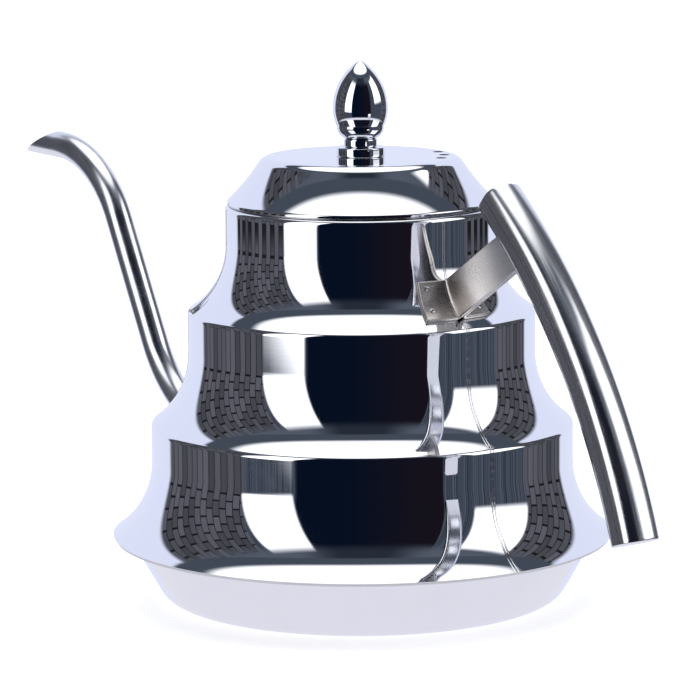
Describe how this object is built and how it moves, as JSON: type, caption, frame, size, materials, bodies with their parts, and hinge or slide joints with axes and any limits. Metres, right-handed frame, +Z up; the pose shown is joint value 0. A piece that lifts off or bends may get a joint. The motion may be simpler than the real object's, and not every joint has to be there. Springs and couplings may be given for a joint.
{
  "type": "gooseneck kettle",
  "caption": "Tiered polished steel pour-over kettle with a gooseneck spout, hollow curved handle on a folded bracket, and a lift-off lid with a drop-shaped knob.",
  "frame": {"origin": "centre of the flat base, on the body's axis, at the surface the kettle stands on", "axes": "+Z up the body's axis, +X towards the handle, with the spout along -X"},
  "size_m": [0.3242, 0.153, 0.1647],
  "materials": {
    "polished_steel": "mirror polished stainless steel",
    "pan_steel": "fine satin stainless steel",
    "brushed_steel": "brushed stainless steel",
    "satin_steel": "lightly brushed and buffed stainless steel",
    "plain_steel": "plain stainless steel"
  },
  "bodies": {
    "kettle": {"body_shell": "polished_steel", "base_pan": "pan_steel", "spout_tube": "polished_steel", "bracket_plate_near": "brushed_steel", "bracket_plate_far": "brushed_steel", "bracket_welds": "brushed_steel", "handle_outer_channel": "satin_steel", "handle_inner_plate": "satin_steel", "handle_top_cap": "satin_steel", "handle_bottom_cap": "satin_steel"},
    "lid": {"lid_cover": "polished_steel", "lid_inner_ring": "plain_steel", "knob_collar": "polished_steel", "knob_neck_bush": "polished_steel", "knob_cup": "polished_steel", "knob_drop": "polished_steel", "knob_insert": "plain_steel", "knob_washer": "plain_steel", "knob_spring_washer": "plain_steel", "knob_screw": "plain_steel"}
  },
  "joints": [
    {"name": "lid_lift", "type": "slide", "parent": "kettle", "child": "lid", "axis": [0, 0, 1], "range_m": [0, 0.06]}
  ]
}
